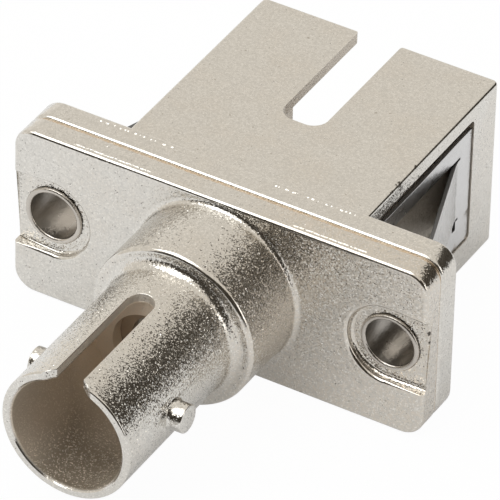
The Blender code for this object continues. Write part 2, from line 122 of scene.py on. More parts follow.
class AdapterBarrelSizes(bpy.types.PropertyGroup):
    """Boss, bayonet barrel, lugs and keyway of the front casting."""

    boss: length("Boss", "Radius of the boss", 0.00425)
    boss_reach: length("Boss reach", "Flange to the boss's end", 0.00403)
    boss_edge: length("Boss edge", "Radius of the boss's rim", 0.00026)
    boss_fillet: length("Boss fillet", "Fillet at the boss's foot", 0.0003)
    radius: length("Barrel", "Outside radius of the barrel", 0.00336)
    edge: length("Mouth edge", "Outside rounding of the mouth", 0.00012)
    fillet: length("Barrel fillet", "Fillet at the barrel's foot", 0.00055)
    bore: length("Bore", "Radius of the bayonet bore", 0.002875)
    chamfer: length("Chamfer", "Chamfer inside the mouth", 0.00013)
    shoulder: length("Shoulder", "Flange to the bore's shoulder", 0.0060)
    lip_hole: length("Lip hole", "Radius of the hole in the shoulder", 0.00193)
    lip: length("Lip", "Thickness of the shoulder", 0.0007)
    holder: length("Holder bore", "Radius of the bore for the sleeve holder", 0.00245)
    holder_flange: length("Holder seat", "Radius of the seat of the holder's flange", 0.0034)
    holder_seat: length("Holder seat depth", "Depth of that seat from the seam", 0.0008)
    lug: length("Lug", "Radius of a bayonet lug", 0.0007)
    lug_reach: length("Lug reach", "Axis to the lug's end", 0.00405)
    lug_place: length("Lug place", "Flange to the lugs' middle", 0.0093)
    lug_edge: length("Lug edge", "Rounding of the lug's end", 0.00006)
    lug_fillet: length("Lug fillet", "Fillet at the lug's foot", 0.00036)
    keyway: length("Keyway", "Width of the keyway", 0.00138)
    keyway_end: length("Keyway end", "Flange to the keyway's end", 0.0062)
    keyway_edge: length("Keyway edge", "Rounding of the keyway's outer rim", 0.00004)
    lead_width: length("Lead-in width", "Widening on each side of the keyway's mouth", 0.0006)
    lead_depth: length("Lead-in depth", "Depth of that widening", 0.00042)


class AdapterSocketSizes(bpy.types.PropertyGroup):
    """Rectangular socket of the rear casting."""

    reach: length("Reach", "From the flange's front face to the socket's mouth", 0.0151)
    width: length("Width", "Outside width", 0.01275)
    height: length("Height", "Outside height", 0.00924)
    edge: length("Edge", "Radius of the long edges", 0.00015)
    corner: length("Corner", "Radius of the upright rear edges", 0.0003)
    cavity_width: length("Cavity width", "Inside width", 0.0090)
    cavity_height: length("Cavity height", "Inside height", 0.0075)
    lead_in: length("Lead-in", "Chamfer inside the mouth", 0.00025)
    slot: length("Slot", "Width of the key slot", 0.0023)
    slot_end: length("Slot end", "Flange to the slot's end", 0.0073)
    slot_corner: length("Slot corner", "Radius at the slot's end", 0.0008)
    slot_mouth: length("Slot mouth", "Radius at the slot's mouth", 0.0003)
    groove: length("Groove", "Width of the key groove", 0.0034)
    groove_start: length("Groove start", "Flange to the groove's start", 0.0055)
    groove_depth: length("Groove depth", "Depth of the key groove", 0.0003)
    pocket_front: length("Pocket front", "Flange to the clip pocket's front", 0.00314)
    pocket_rear: length("Pocket rear", "Flange to the clip pocket's rear", 0.01275)
    pocket_bottom: length("Pocket bottom", "Lower side of the clip pocket", -0.0031)
    pocket_top: length("Pocket top", "Upper side of the clip pocket", 0.00385)
    pocket_depth: length("Pocket depth", "Depth of the clip pocket", 0.00042)
    pocket_corner: length("Pocket corner", "Radius of the clip pocket's corners", 0.0003)
    insert_width: length("Insert seat width", "Seat of the latch insert", 0.0103)
    insert_height: length("Insert seat height", "Seat of the latch insert", 0.0081)
    insert_depth: length("Insert seat depth", "Seat of the latch insert", 0.0011)


class AdapterEyeletSizes(bpy.types.PropertyGroup):
    """Tubular rivets in the fixing holes."""

    radius: length("Tube", "Outside radius of the tube", 0.0014)
    wall: length("Wall", "Wall of the tube", 0.00015)
    rim: length("Rim", "Width of the rolled rim", 0.00028)
    rise: length("Rim height", "Height of the rolled rim", 0.00013)
    gap: length("Gap", "Gap between a rim and its seat", 0.00005)


class AdapterClipSizes(bpy.types.PropertyGroup):
    """Sheet-metal panel clip in the side pocket."""

    sheet: length("Sheet", "Thickness of the sheet", 0.0002)
    edge: length("Edge", "Radius of the sheet's edges", 0.00003)
    face: length("Face", "Axis to the clip's outer face", 0.0063)
    front: length("Front", "Front edge along the axis", 0.002265)
    rear: length("Rear", "Rear edge along the axis", 0.01178)
    bottom: length("Bottom", "Lower edge", -0.00305)
    top: length("Top", "Upper edge", 0.00333)
    step: length("Step", "Step down in the upper edge", 0.00011)
    step_place: length("Step place", "Place of the step along the axis", 0.006875)
    step_slope: length("Step slope", "Length of the step's slope", 0.0001)
    tongue_bottom: length("Tongue bottom", "Lower edge of the tongue", -0.00124)
    tongue_top: length("Tongue top", "Upper edge of the tongue", 0.00217)
    root: length("Root", "Bend of the tongue along the axis", 0.010735)
    tongue: length("Tongue", "Length of the tongue", 0.0073)
    bend: length("Bend", "Length of the bend", 0.0006)
    flare: turn("Flare", "Angle of the tongue", 18.5)
    slit: length("Slit", "Gap along the tongue", 0.00012)
    relief: length("Relief", "Size of the notch at the lower slit's end", 0.0005)
    window: length("Window", "Gap before the tongue's tip", 0.0004)


class AdapterFinish(bpy.types.PropertyGroup):
    """Colours and gloss of the metals."""

    nickel: colour("Nickel", "Satin nickel of the castings", (0.745, 0.725, 0.685))
    # Warm nickel colours random warm patches and a painted warm reflection on the barrel's right; a little
    # darker, it is the painted shade of the recesses.
    nickel_warm: colour("Warm nickel", "Nickel where the plating is thin", (0.71, 0.645, 0.56))
    glint: colour("Glint", "Facets of the grain that catch the light", (0.90, 0.88, 0.84))
    # The bore colour is painted shade inside the bore; it also colours the dark specks of the grain.
    bore: colour("Bore", "Dull nickel inside the bore", (0.265, 0.222, 0.168))
    # Painted light deep in the bore and on its left, where light falls through the keyway.
    bore_painted_light: colour("Lit bore", "Nickel deep in the bore and on its left", (0.92, 0.80, 0.66))
    bore_glint: colour("Bore glint", "Bright facets inside the bore", (0.85, 0.76, 0.64))
    # Painted shade of small dents in the castings, which are not modelled.
    shade_and_dullness: colour("Painted shade", "Dark film in the castings' knocked spots", (0.10, 0.085, 0.07))
    # Painted warm shade in the crease of the seam between the two castings.
    seam_shade_tone: colour("Seam tint", "Brassy film along the seam", (0.66, 0.43, 0.2))
    eyelet: colour("Eyelet", "Plated eyelets", (0.62, 0.58, 0.53))
    steel: colour("Clip steel", "Sheet of the panel clips", (0.71, 0.71, 0.715))
    plastic: colour("Insert", "Moulded latch insert", (0.72, 0.70, 0.64))
    holder: colour("Holder", "Plating of the sleeve holder", (0.55, 0.45, 0.35))
    ceramic: colour("Sleeve", "Ceramic of the split sleeve", (0.86, 0.86, 0.83))
    gloss: share("Roughness", "Roughness of the satin nickel", 0.15)
    gloss_worn: share("Worn roughness", "Roughness of rubbed edges", 0.10)
    grain: length("Grain size", "Size of the cast grain", 0.00005)
    tilt: share("Grain tilt", "How far the facets of the grain lean", 0.40)


class AdapterStage(bpy.types.PropertyGroup):
    """Floor, lamps and camera."""

    azimuth: turn("Azimuth", "Camera's angle round the object", 29.483)
    elevation: turn("Elevation", "Camera's angle above the floor", 37.533)
    roll: turn("Roll", "Camera's roll", 1.555)
    distance: length("Distance", "Camera to its target", 0.31261)
    lens: FloatProperty(name="Lens", description="Focal length in millimetres", default=485.61)
    target: FloatVectorProperty(
        name="Target", description="Point that the camera looks at", default=(0.000086, 0.002001, 0)
    )
    floor: length("Floor", "Height of the floor", -0.00465)
    world: share("Surroundings", "Brightness of the studio round the object", 0.93)
    card: colour("Card", "Dark cards round the object", (0.04, 0.032, 0.022))


settings_classes = (
    ("adapter_flange", AdapterFlangeSizes),
    ("adapter_barrel", AdapterBarrelSizes),
    ("adapter_socket", AdapterSocketSizes),
    ("adapter_eyelet", AdapterEyeletSizes),
    ("adapter_clip", AdapterClipSizes),
    ("adapter_finish", AdapterFinish),
    ("adapter_stage", AdapterStage),
)


# Modelling helpers


def activate(obj):
    """Leave this piece alone selected and active."""
    bpy.ops.object.select_all(action="DESELECT")
    obj.select_set(True)
    bpy.context.view_layer.objects.active = obj


def named(name):
    """Name the piece that an operator has just added, and apply its place and size."""
    obj = bpy.context.object
    obj.name = name
    obj.data.name = name
    bpy.ops.object.transform_apply(location=True, rotation=True, scale=True)
    return obj


def open_mesh(obj, kind="EDGE"):
    """Edit one piece with nothing picked."""
    activate(obj)
    bpy.ops.object.mode_set(mode="EDIT")
    bpy.ops.mesh.select_mode(type=kind)
    bpy.ops.mesh.select_all(action="DESELECT")
    return bmesh.from_edit_mesh(obj.data)


def close_mesh():
    """Back to object mode."""
    bpy.ops.object.mode_set(mode="OBJECT")


def pick(obj, shape, elements, wanted):
    """Select the elements that the test wants, and say how many they are."""
    count = 0
    for element in elements:
        if wanted(element):
            element.select_set(True)
            count += 1
    shape.select_flush_mode()
    bmesh.update_edit_mesh(obj.data)
    return count


def middle(element):
    """Middle of an edge or face."""
    return sum((vertex.co for vertex in element.verts), Vector()) / len(element.verts)


def from_axis(spot):
    """Distance of a place from the line along Y through the origin."""
    return Vector((spot.x, 0, spot.z)).length


def runs(edge, axis):
    """True where an edge runs along X, Y or Z (0, 1 or 2)."""
    way = edge.verts[1].co - edge.verts[0].co
    return way.length > same_point and abs(way[axis]) > 0.999 * way.length


def block(name, low, high):
    """Box between two corners."""
    low, high = Vector(low), Vector(high)
    bpy.ops.object.select_all(action="DESELECT")
    bpy.ops.mesh.primitive_cube_add(size=1, location=(low + high) / 2, scale=high - low)
    return named(name)


def centred_block(name, width, height, start, end):
    """Box centred on the fibre axis, from its start to its end along it."""
    return block(name, (-width / 2, start, -height / 2), (width / 2, end, height / 2))


def rectangle(name, place, turned_to, width, height):
    """Flat rectangle at a place, turned by a matrix."""
    bpy.ops.object.select_all(action="DESELECT")
    bpy.ops.mesh.primitive_plane_add(size=1)
    size = Matrix.Diagonal((width, height, 1, 1))
    bpy.context.object.matrix_world = Matrix.Translation(place) @ turned_to.to_4x4() @ size
    return named(name)


def side_block(name, side, aside, along, upright):
    """Box on the left or right side (-1 or 1), from its two ends in each direction."""
    left, right = sorted(side * end for end in aside)
    return block(name, (left, along[0], upright[0]), (right, along[1], upright[1]))


def bends(edge, degrees):
    """True where the faces on the two sides of an edge turn by more than an angle."""
    return edge.is_manifold and edge.calc_face_angle(0) > math.radians(degrees)


def round_edges(obj, radius, segments, wanted):
    """Round the edges that the test wants."""
    shape = open_mesh(obj)
    if not pick(obj, shape, shape.edges, wanted):
        raise RuntimeError(obj.name + ": no edge to round")
    bpy.ops.mesh.bevel(offset=radius, offset_type="OFFSET", segments=segments, profile=0.5, affect="EDGES")
    close_mesh()


def modify(obj, kind, **values):
    """Apply one modifier with its values."""
    activate(obj)
    bpy.ops.object.modifier_add(type=kind)
    modifier = obj.modifiers[-1]
    for name, value in values.items():
        setattr(modifier, name, value)
    bpy.ops.object.modifier_apply(modifier=modifier.name)


def soften(obj, radius, segments, angle=40):
    """Round every sharp edge."""
    limit = math.radians(angle)
    modify(obj, "BEVEL", limit_method="ANGLE", angle_limit=limit, width=radius, segments=segments)


def combine(obj, tool, operation):
    """Join a tool to a piece or cut the piece with it, and remove the tool."""
    modify(obj, "BOOLEAN", operation=operation, solver="EXACT", object=tool)
    activate(tool)
    bpy.ops.object.delete()
    activate(obj)


def arc(across, along, radius, start, end, steps):
    """Points of an arc in a profile, both ends included."""
    points = []
    for step in range(steps + 1):
        angle = math.radians(start + (end - start) * step / steps)
        points.append((across + radius * math.cos(angle), along + radius * math.sin(angle)))
    return points


def rounding(across, along, radius, steps):
    """Arc over the outer corner of a profile, from its end face to its side."""
    return arc(across - radius, along - radius, radius, 90, 0, steps)


def fillet(across, along, radius, steps):
    """Arc in the inner corner of a profile, from its side to what it stands on."""
    return arc(across + radius, along + radius, radius, 180, 270, steps)


def open_chain(name, places):
    """Piece in edit mode that is a chain of points, grown from one point by extruding."""
    bpy.ops.object.select_all(action="DESELECT")
    bpy.ops.mesh.primitive_plane_add(size=1, location=(0, 0, 0))
    obj = named(name)
    open_mesh(obj, "VERT")
    bpy.ops.mesh.select_all(action="SELECT")
    bpy.ops.mesh.merge(type="CENTER")
    bpy.ops.transform.translate(value=places[0])
    for start, end in zip(places, places[1:]):
        bpy.ops.mesh.extrude_vertices_move(TRANSFORM_OT_translate={"value": end - start})
    return obj


def turned(name, profile, steps, centre=(0, 0, 0), axis=(0, 1, 0), out=(1, 0, 0), closed=False):
    """Spin a profile of (distance from the axis, distance along it) pairs round the axis."""
    centre, axis, out = Vector(centre), Vector(axis), Vector(out)
    obj = open_chain(name, [centre + out * across + axis * along for across, along in profile])
    if closed:
        bpy.ops.mesh.select_all(action="SELECT")
        shape = bmesh.from_edit_mesh(obj.data)
        ends = [vertex for vertex in shape.verts if len(vertex.link_edges) == 1]
        bpy.ops.mesh.select_all(action="DESELECT")
        pick(obj, shape, shape.verts, lambda vertex: vertex in ends)
        bpy.ops.mesh.edge_face_add()
    bpy.ops.mesh.select_all(action="SELECT")
    bpy.ops.mesh.spin(steps=steps, angle=2 * math.pi, center=centre, axis=axis)
    bpy.ops.mesh.select_all(action="SELECT")
    bpy.ops.mesh.remove_doubles(threshold=same_point)
    bpy.ops.mesh.normals_make_consistent(inside=False)
    close_mesh()
    return obj


def plate_from_outline(name, outline, low, high):
    """Upright prism over an outline of X and Y pairs."""
    obj = open_chain(name, [Vector((x, y, low)) for x, y in outline])
    bpy.ops.mesh.select_all(action="SELECT")
    bpy.ops.mesh.edge_face_add()
    bpy.ops.mesh.extrude_region_move(TRANSFORM_OT_translate={"value": (0, 0, high - low)})
    bpy.ops.mesh.select_all(action="SELECT")
    bpy.ops.mesh.normals_make_consistent(inside=False)
    close_mesh()
    return obj


def mark_faces(obj, name, share_of):
    """Face attribute that a material reads, with a share worked out for each face."""
    shape = bmesh.new()
    shape.from_mesh(obj.data)
    layer = shape.faces.layers.float.new(name)
    for face in shape.faces:
        face[layer] = float(share_of(face))
    shape.to_mesh(obj.data)
    shape.free()


def smooth_finish(obj, angle=32):
    """Smooth shading with flat faces kept flat."""
    activate(obj)
    bpy.ops.object.shade_smooth_by_angle(angle=math.radians(angle))
    modify(obj, "WEIGHTED_NORMAL", keep_sharp=True, weight=60)


def finish_piece(obj, material, slot, *nodes):
    """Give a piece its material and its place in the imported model."""
    obj.data.materials.clear()
    obj.data.materials.append(material)
    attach(obj, "root")
    if nodes:
        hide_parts(*nodes)


# Materials


def new_group(name, inputs, outputs):
    """Shader node group with named sockets."""
    group = bpy.data.node_groups.new(name, "ShaderNodeTree")
    for label, kind, value in inputs:
        socket = group.interface.new_socket(label, in_out="INPUT", socket_type="NodeSocket" + kind)
        socket.default_value = value
    for label, kind in outputs:
        group.interface.new_socket(label, in_out="OUTPUT", socket_type="NodeSocket" + kind)
    return group, group.nodes.new("NodeGroupInput"), group.nodes.new("NodeGroupOutput")


def feed(tree, socket, value):
    """Link an input to an output, or give it a plain value."""
    if isinstance(value, bpy.types.NodeSocket):
        tree.links.new(value, socket)
    else:
        socket.default_value = value


def add_node(tree, kind, links, **values):
    """Node with its options, plain values and links. A key of links is an input's name or place."""
    node = tree.nodes.new(kind)
    for name, value in values.items():
        setattr(node, name, value)
    for key, value in links.items():
        feed(tree, node.inputs[key], value)
    return node


def maths(tree, operation, *terms):
    """Maths node on one, two or three terms."""
    return add_node(tree, "ShaderNodeMath", dict(enumerate(terms)), operation=operation).outputs[0]


def ramp(tree, value, low, high, start=0.0, end=1.0):
    """Smooth step of a value between two limits."""
    node = add_node(
        tree,
        "ShaderNodeMapRange",
        {"Value": value, "From Min": low, "From Max": high, "To Min": start, "To Max": end},
        interpolation_type="SMOOTHSTEP",
    )
    return node.outputs["Result"]


def blend_colour(tree, share_of, first, second):
    """Colour between two colours."""
    node = tree.nodes.new("ShaderNodeMix")
    node.data_type = "RGBA"
    feed(tree, node.inputs[0], share_of)
    for place, tone in ((6, first), (7, second)):
        feed(tree, node.inputs[place], (*tone, 1) if isinstance(tone, tuple) else tone)
    return node.outputs[2]


def vectors(tree, operation, *terms, result="Vector"):
    """Vector maths node on one or two terms, with its vector or its value as the result."""
    node = tree.nodes.new("ShaderNodeVectorMath")
    node.operation = operation
    for socket, term in zip([socket for socket in node.inputs if socket.enabled], terms):
        feed(tree, socket, term)
    return node.outputs[result]


def noise(tree, place, scale, detail=2.0, rough=0.5):
    """Noise value at a place."""
    node = add_node(
        tree, "ShaderNodeTexNoise", {"Vector": place, "Scale": scale, "Detail": detail, "Roughness": rough}
    )
    return node.outputs[0]


def cast_grain_group():
    """Normal of tiny cast facets, with slow patches, a fine mottle, specks and bright facets.

    Most facets lean a little and a few lean far. Worn surfaces keep a tenth of the lean.
    """
    name = "Cast grain"
    if name in bpy.data.node_groups:
        return bpy.data.node_groups[name]
    least_lean, lean_growth = 0.35, 2.4
    # Output, share of the grain's frequency, detail, roughness and the limits of its ramp.
    noises = (
        ("Patches", 0.018, 3.0, 0.55, 0.38, 0.66),
        ("Mottle", 0.36, 2.0, 0.6, 0.3, 0.7),
        ("Specks", 0.2, 1.0, 0.5, 0.76, 0.80),
    )
    group, inside, outside = new_group(
        name,
        [
            ("Size", "Float", 0.00005),
            ("Tilt", "Float", 0.4),
            ("Worn", "Float", 0.0),
            ("Lean", "Vector", (0, 0, 0)),
        ],
        [
            ("Normal", "Vector"),
            ("Patches", "Float"),
            ("Mottle", "Float"),
            ("Specks", "Float"),
            ("Sparkle", "Float"),
        ],
    )
    place = group.nodes.new("ShaderNodeTexCoord").outputs["Object"]
    frequency = maths(group, "DIVIDE", 1.0, inside.outputs["Size"])
    cells = add_node(group, "ShaderNodeTexVoronoi", {"Vector": place, "Scale": frequency}).outputs["Color"]
    shine = add_node(group, "ShaderNodeSeparateXYZ", {0: cells}).outputs["X"]
    group.links.new(ramp(group, shine, 0.75, 1.0), outside.inputs["Sparkle"])
    rubbed = maths(group, "MULTIPLY_ADD", inside.outputs["Worn"], -0.9, 1.0)
    lean = vectors(group, "SUBTRACT", cells, (0.5, 0.5, 0.5))
    length_of = vectors(group, "LENGTH", lean, result="Value")
    steep = maths(group, "MULTIPLY_ADD", maths(group, "POWER", length_of, 2.0), lean_growth, least_lean)
    steep = maths(group, "MULTIPLY", steep, maths(group, "MULTIPLY", inside.outputs["Tilt"], rubbed))
    lean = vectors(group, "SCALE", lean, steep)
    lean = vectors(group, "ADD", lean, inside.outputs["Lean"])
    plain = group.nodes.new("ShaderNodeNewGeometry").outputs["Normal"]
    normal = vectors(group, "NORMALIZE", vectors(group, "ADD", plain, lean))
    group.links.new(normal, outside.inputs["Normal"])
    for label, part, detail, rough, low, high in noises:
        value = noise(group, place, maths(group, "MULTIPLY", frequency, part), detail, rough)
        group.links.new(ramp(group, value, low, high), outside.inputs[label])
    return group


def new_material(name):
    """Empty node material with its Principled shader and output."""
    material = bpy.data.materials.new(name)
    material.use_nodes = True
    tree = material.node_tree
    return material, tree, tree.nodes["Principled BSDF"]


def place_grain(tree, size, tilt, **links):
    """The shared grain with a material's own values."""
    grain = tree.nodes.new("ShaderNodeGroup")
    grain.node_tree = cast_grain_group()
    grain.inputs["Size"].default_value = size
    grain.inputs["Tilt"].default_value = tilt
    for name, value in links.items():
        tree.links.new(value, grain.inputs[name])
    return grain.outputs


def greatest(tree, masks):
    """Greatest of several masks."""
    found = masks[0]
    for mask in masks[1:]:
        found = maths(tree, "MAXIMUM", found, mask)
    return found


def trim_marks(tree, parts, top, marks, broken):
    """Mask of bright lines left by trimming, along X above a height, with more or fewer breaks.

    Each mark has its start and end along X, its place along Y and its half width.
    """
    fade, sway = 0.0004, 0.00044 * broken
    spot = add_node(tree, "ShaderNodeCombineXYZ", {"X": parts["X"], "Y": 0.0, "Z": 0.0}).outputs[0]
    dashes = ramp(tree, noise(tree, spot, 5200, 2.0, 0.6), broken, broken + 0.08)
    wander = maths(tree, "MULTIPLY_ADD", noise(tree, spot, 2200, 3.0, 0.6), sway, parts["Y"])
    lines = []
    for start, end, place, width in marks:
        aside = maths(tree, "ABSOLUTE", maths(tree, "SUBTRACT", wander, place + sway / 2))
        line = ramp(tree, aside, width, width * 0.6)
        line = maths(tree, "MULTIPLY", line, ramp(tree, parts["X"], start, start + fade))
        lines.append(maths(tree, "MULTIPLY", line, ramp(tree, parts["X"], end, end - fade)))
    found = maths(tree, "MULTIPLY", greatest(tree, lines), dashes)
    return maths(tree, "MULTIPLY", found, maths(tree, "GREATER_THAN", parts["Z"], top))


def chip_marks(tree, where, chips, ragged):
    """Mask of small knocked spots with ragged outlines. Each chip has its middle and its radius."""
    spots = []
    for place, radius in chips:
        away = vectors(tree, "DISTANCE", where, place, result="Value")
        away = maths(tree, "MULTIPLY_ADD", ragged, radius * 0.7, away)
        spots.append(ramp(tree, away, radius, radius * 0.8))
    return greatest(tree, spots)


def mark_on(tree, name):
    """Share that a face attribute of the piece holds."""
    return add_node(tree, "ShaderNodeAttribute", {}, attribute_name=name).outputs["Fac"]


def shade(tone, part):
    """A part of a tone."""
    return tuple(channel * part for channel in tone)


def finish_shader(tree, shader, tone, rough, metal, normal):
    """Give the shader its colour, roughness, metallic share and normal."""
    values = {"Base Color": tone, "Roughness": rough, "Metallic": metal, "Normal": normal}
    for name, value in values.items():
        feed(tree, shader.inputs[name], value)


def tint(tree, mask, strength, tone, other):
    """Lay another colour over a tone, at some strength where the mask is full."""
    return blend_colour(tree, maths(tree, "MULTIPLY", mask, strength), tone, tuple(other))


def warm_reflection_mask(tree, parts):
    """Mask of a painted warm reflection on the right of the barrel's foot and the boss's end."""
    right_edge, barrel_foot, boss_end = 0.004, -0.0075, -0.0045
    to_right = ramp(tree, parts["X"], 0, right_edge)
    to_flange = ramp(tree, parts["Y"], barrel_foot, boss_end, 0, 0.8)
    return maths(tree, "MULTIPLY", to_right, to_flange)


def seam_shade_mask(tree, parts, mottle):
    """Mask of painted warm shade in the seam's crease, along the front casting's rear edge, broken by the
    mottle.
    """
    shade_start, shade_full = 0.00024, 0.0003
    broken = ramp(tree, mottle, 0.1, 0.5, 0.3, 1.0)
    return maths(tree, "MULTIPLY", ramp(tree, parts["Y"], shade_start, shade_full), broken)


def inside_bore(tree, parts):
    """Mask of what lies closer to the fibre axis than the barrel's wall."""
    full, none = 0.00289, 0.00298
    squares = [maths(tree, "POWER", parts[axis], 2.0) for axis in "XZ"]
    return ramp(tree, maths(tree, "SQRT", maths(tree, "ADD", *squares)), none, full)


def bore_tone(tree, finish, parts, sparkle):
    """Painted shade inside the bore with painted glints, and painted light deep in the bore and on its
    left, where light falls through the keyway.
    """
    near_mouth, near_shoulder, middle_side, left_side = -0.0120, -0.0075, -0.001, -0.0026
    deeper = ramp(tree, parts["Y"], near_mouth, near_shoulder)
    to_left = ramp(tree, parts["X"], middle_side, left_side, 0, 0.6)
    lit = maths(tree, "MAXIMUM", deeper, to_left)
    tone = blend_colour(tree, lit, tuple(finish.bore), tuple(finish.bore_painted_light))
    return blend_colour(tree, sparkle, tone, tuple(finish.bore_glint))


def nickel_tone(tree, finish, grain, warm, seam_shade=None):
    """Plating colour over the grain, warmer where the warm mask is set, with painted warm seam shade where
    given.
    """
    tone = blend_colour(tree, warm, tuple(finish.nickel), tuple(finish.nickel_warm))
    if seam_shade is not None:
        tone = blend_colour(tree, seam_shade, tone, tuple(finish.seam_shade_tone))
    tone = tint(tree, grain["Mottle"], 0.7, tone, shade(finish.nickel, 0.82))
    tone = tint(tree, grain["Sparkle"], 0.7, tone, finish.glint)
    return tint(tree, grain["Specks"], 0.5, tone, finish.bore)


def satin_nickel(name, finish, top, marks, chips, calm=1.0, bore=False):
    """Satin nickel over a cast body, with its grain, warm patches, trim marks, painted shade in its
    recesses and painted shade at knocked spots.

    The one with the bore has painted shade inside it, with painted light deep in and on the left,
    a painted warm reflection on the right of the barrel's foot, painted warm shade in the seam
    and trim marks with fewer breaks.
    """
    material, tree, shader = new_material(name)
    where = tree.nodes.new("ShaderNodeTexCoord").outputs["Object"]
    parts = add_node(tree, "ShaderNodeSeparateXYZ", {0: where}).outputs
    worn, deep = mark_on(tree, "worn"), mark_on(tree, "deep")
    breaks, metal_lost = (0.36, 0.8) if bore else (0.5, 0.4)
    trimmed = trim_marks(tree, parts, top, marks, breaks)
    forward = maths(tree, "MULTIPLY", trimmed, -1.0)
    lean = add_node(tree, "ShaderNodeCombineXYZ", {"X": 0.0, "Y": forward, "Z": 0.0}).outputs[0]
    grain = place_grain(tree, finish.grain, finish.tilt * calm, Worn=worn, Lean=lean)

    # Warm patches at random; the deep faces of pockets, cavity, key slot and keyway take painted shade,
    # warm nickel a little darker.
    warm_share, recess_shade_share = 0.3, 0.87
    warm = maths(tree, "MULTIPLY", grain["Patches"], warm_share)
    recess_shade_tone = shade(finish.nickel_warm, recess_shade_share)
    if bore:
        # Painted warm reflection on the right of the barrel's foot, where the roughness rises too.
        warm_reflection, inward = warm_reflection_mask(tree, parts), inside_bore(tree, parts)
        warm = maths(tree, "MAXIMUM", warm, warm_reflection)
        tone = nickel_tone(tree, finish, grain, warm, seam_shade_mask(tree, parts, grain["Mottle"]))
        tone = blend_colour(tree, deep, tone, recess_shade_tone)
        # Painted shade inside the bore, lighter where light falls through the keyway.
        tone = blend_colour(tree, inward, tone, bore_tone(tree, finish, parts, grain["Sparkle"]))
        dull = maths(tree, "MAXIMUM", inward, deep)
    else:
        tone = blend_colour(tree, deep, nickel_tone(tree, finish, grain, warm), recess_shade_tone)
        dull = deep
    # Painted shade at the knocked spots, whose dents are not modelled; the metal is duller there too.
    shade_and_dullness = chip_marks(tree, where, chips, grain["Mottle"])
    tone = blend_colour(tree, shade_and_dullness, tone, tuple(finish.shade_and_dullness))

    calm_gain, patch_gain, dull_gain, warm_reflection_gain = 0.16, 0.04, 0.2, 0.08
    even = finish.gloss + (1 - calm) * calm_gain - patch_gain / 2
    rough = maths(tree, "MULTIPLY_ADD", grain["Patches"], patch_gain, even)
    rough = maths(tree, "MULTIPLY_ADD", worn, finish.gloss_worn - finish.gloss, rough)
    rough = maths(tree, "MULTIPLY_ADD", dull, dull_gain, rough)
    if bore:
        rough = maths(tree, "MULTIPLY_ADD", warm_reflection, warm_reflection_gain, rough)
    metal = maths(tree, "MULTIPLY_ADD", maths(tree, "MAXIMUM", dull, shade_and_dullness), -metal_lost, 1.0)
    finish_shader(tree, shader, tone, rough, metal, grain["Normal"])
    return material


def polished(name, tone, roughness, tilt, size, metallic=1.0):
    """Smoother metal or moulding with a faint grain."""
    material, tree, shader = new_material(name)
    grain = place_grain(tree, size, tilt)
    darker = shade(tone, 0.8)
    mixed = tint(tree, grain["Patches"], 0.6, tuple(tone), darker)
    mixed = tint(tree, grain["Mottle"], 0.2, mixed, darker)
    # Painted shade where the attribute is set: the colour falls to a quarter and the roughness rises.
    shade_and_dullness = mark_on(tree, "shade_and_dullness")
    mixed = blend_colour(tree, shade_and_dullness, mixed, shade(tone, 0.25))
    rough = maths(tree, "MULTIPLY_ADD", grain["Patches"], 0.06, roughness)
    rough = maths(tree, "MULTIPLY_ADD", shade_and_dullness, 0.3, rough)
    finish_shader(tree, shader, mixed, rough, metallic, grain["Normal"])
    return material


# Pieces


def flange_half(name, flange, front, rear):
    """One casting's half of the flange, with its four round corners."""
    half = centred_block(name, flange.width, flange.height, front, rear)
    round_edges(half, flange.corner, 12, lambda edge: runs(edge, 1))
    return half


def in_corner(flange, face):
    """True on the four round corners of the flange."""
    spot = face.calc_center_median()
    reach = flange.corner * 0.95
    beyond_x = abs(spot.x) > flange.width / 2 - reach
    beyond_z = abs(spot.z) > flange.height / 2 - reach
    return beyond_x and beyond_z and abs(face.normal.y) < 0.6


def wear(flange, face):
    """How far a face is rubbed smooth: outward roundings fully, corners and inward ones partly."""
    if in_corner(flange, face):
        return 0.6
    longest = max(edge.calc_length() for edge in face.edges)
    bent = [edge for edge in face.edges if bends(edge, 6)]
    if len(bent) < 2 or face.calc_area() / longest >= narrow_face:
        return 0
    return 1 if sum(edge.is_convex for edge in bent) > 1 else 0.5


def drill(obj, flange, radius, front, rear):
    """Round hole through both ends of a flange half."""
    for side in (-1, 1):
        profile = [(0, 0), (radius, 0), (radius, rear - front), (0, rear - front)]
        centre = (side * flange.pitch / 2, front, 0)
        combine(obj, turned("hole", profile, hole_steps, centre), "DIFFERENCE")


